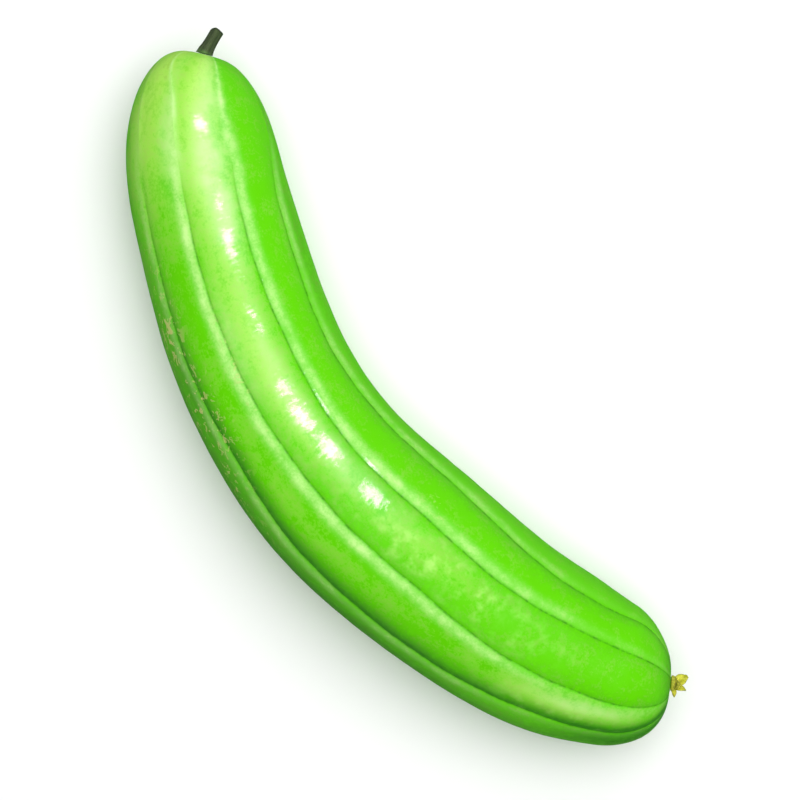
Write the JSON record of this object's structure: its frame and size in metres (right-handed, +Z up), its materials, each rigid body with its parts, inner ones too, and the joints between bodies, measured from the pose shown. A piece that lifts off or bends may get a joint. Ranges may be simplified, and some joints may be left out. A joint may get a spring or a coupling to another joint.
{
  "type": "pickling melon",
  "caption": "Long, bent green melon with shallow lengthwise furrows, a cut stalk stub at one end and withered flower remains at the other; lies on its side.",
  "frame": {"origin": "middle of the whole object's footprint box, on the surface that it lies on", "axes": "+X along the longest side, from the stalk's end to the flower's end; -Y towards the outer bend; +Z up"},
  "size_m": [0.366, 0.1176, 0.0821],
  "materials": {
    "melon_skin": "smooth waxy melon rind, light green with paler bands beside its furrows",
    "green_stalk": "matt dark green fibrous stalk, five-ribbed, cut off",
    "dried_petals": "matt, withered, yellow-olive petals"
  },
  "bodies": {
    "root": {"melon_fruit": "melon_skin", "fruit_stalk": "green_stalk", "withered_flower": "dried_petals"}
  },
  "joints": []
}
